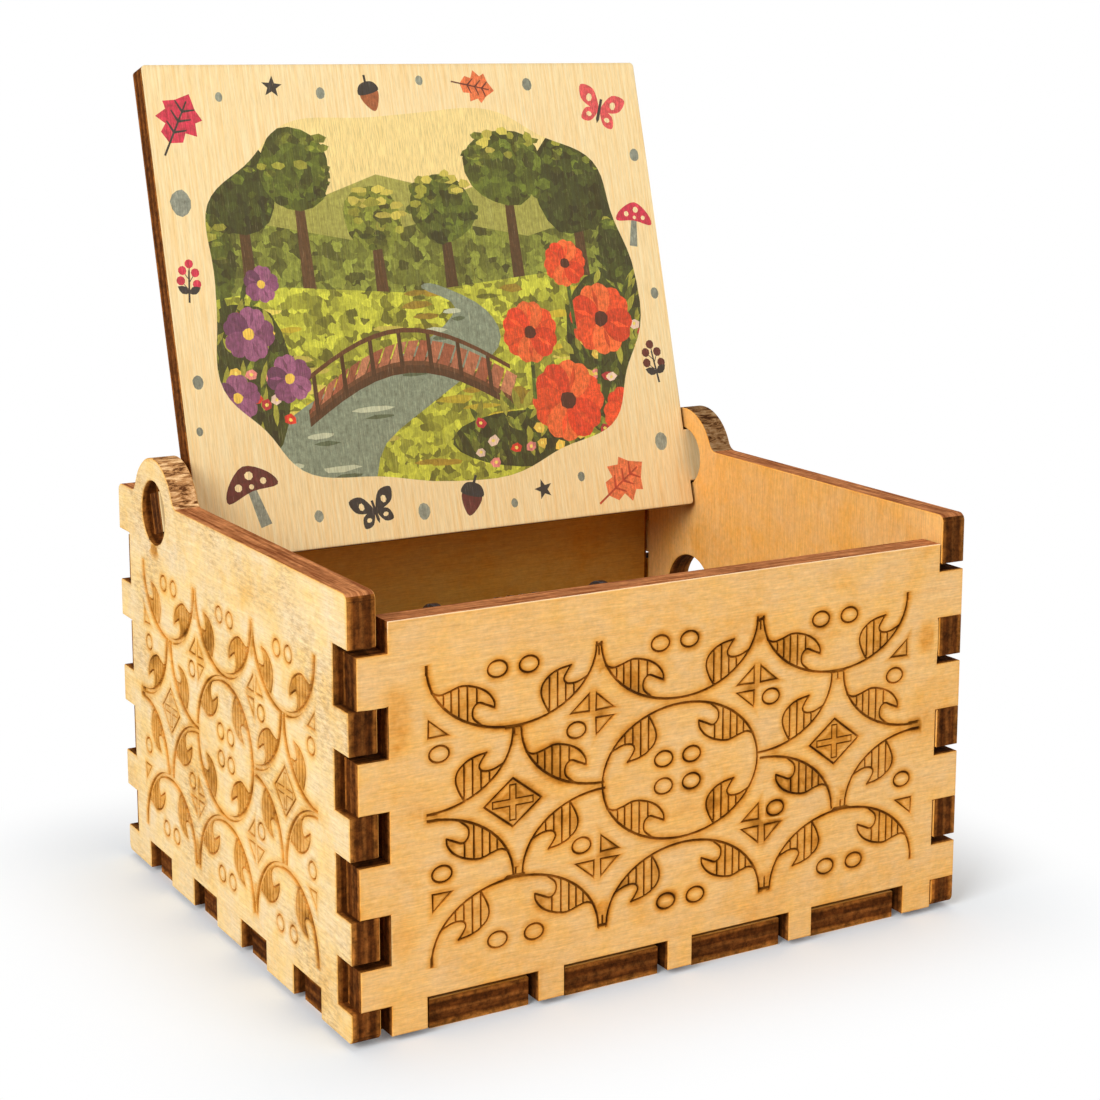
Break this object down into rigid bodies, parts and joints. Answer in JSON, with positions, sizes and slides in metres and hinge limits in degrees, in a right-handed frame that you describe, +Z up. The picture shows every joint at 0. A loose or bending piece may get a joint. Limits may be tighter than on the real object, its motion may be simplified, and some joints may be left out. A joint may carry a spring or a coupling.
{
  "type": "music box",
  "caption": "Open plywood hand-crank music box: finger-jointed walls, a lid leaning back in two round lugs, and a pinned-cylinder comb movement inside.",
  "frame": {"origin": "middle of the floor panel's underside, on the surface the box stands on", "axes": "+X to the crank side, +Y to the back where the lid is hinged, +Z up"},
  "size_m": [0.0894, 0.0635, 0.0897],
  "materials": {
    "plywood": "sanded birch plywood, bare, with burnt edges",
    "cast_metal": "die-cast, satin",
    "screw_steel": "zinc-plated, satin",
    "comb_steel": "ground spring steel",
    "lead": "dull lead",
    "brass": "turned, bright",
    "shaft_steel": "drawn and nickel-plated",
    "pressed_steel": "pressed and darkened",
    "knob_plastic": "moulded, off-white"
  },
  "bodies": {
    "case": {"front_wall": "plywood", "back_wall": "plywood", "left_wall": "plywood", "right_wall": "plywood", "floor_panel": "plywood", "bedplate": "cast_metal", "bedplate_screws": "screw_steel", "comb": "comb_steel", "tuning_weights": "lead", "comb_screws": "screw_steel", "front_bush": "brass", "rear_plate": "pressed_steel", "rear_bush": "brass", "rear_plate_screws": "screw_steel", "crank_bracket": "pressed_steel", "bracket_screws": "screw_steel", "ear_bushes": "brass"},
    "lid": {"lid": "plywood"},
    "cylinder": {"cylinder_shell": "brass", "cylinder_caps": "brass", "cylinder_arbor": "shaft_steel", "worm_wheel": "brass"},
    "crank": {"crank_rod": "shaft_steel", "worm": "shaft_steel", "retaining_ring": "pressed_steel", "shaft_collar": "brass"},
    "knob": {"crank_knob": "knob_plastic"}
  },
  "joints": [
    {"name": "lid_hinge", "type": "hinge", "parent": "case", "child": "lid", "pos_m": [0, 0.019, 0.0421], "axis": [-1, 0, 0], "range_deg": [-105.4, 52]},
    {"name": "crank_spin", "type": "hinge", "parent": "case", "child": "crank", "pos_m": [0, 0.0174, 0.025], "axis": [1, 0, 0], "continuous": true},
    {"name": "cylinder_spin", "type": "hinge", "parent": "case", "child": "cylinder", "pos_m": [0.00875, 0, 0.016], "axis": [0, 1, 0], "continuous": true},
    {"name": "knob_spin", "type": "hinge", "parent": "crank", "child": "knob", "pos_m": [0.041, 0.0174, 0.008], "axis": [1, 0, 0], "continuous": true}
  ],
  "couplings": [
    {"joint": "cylinder_spin", "follows": "crank_spin", "ratio": -0.041667}
  ]
}
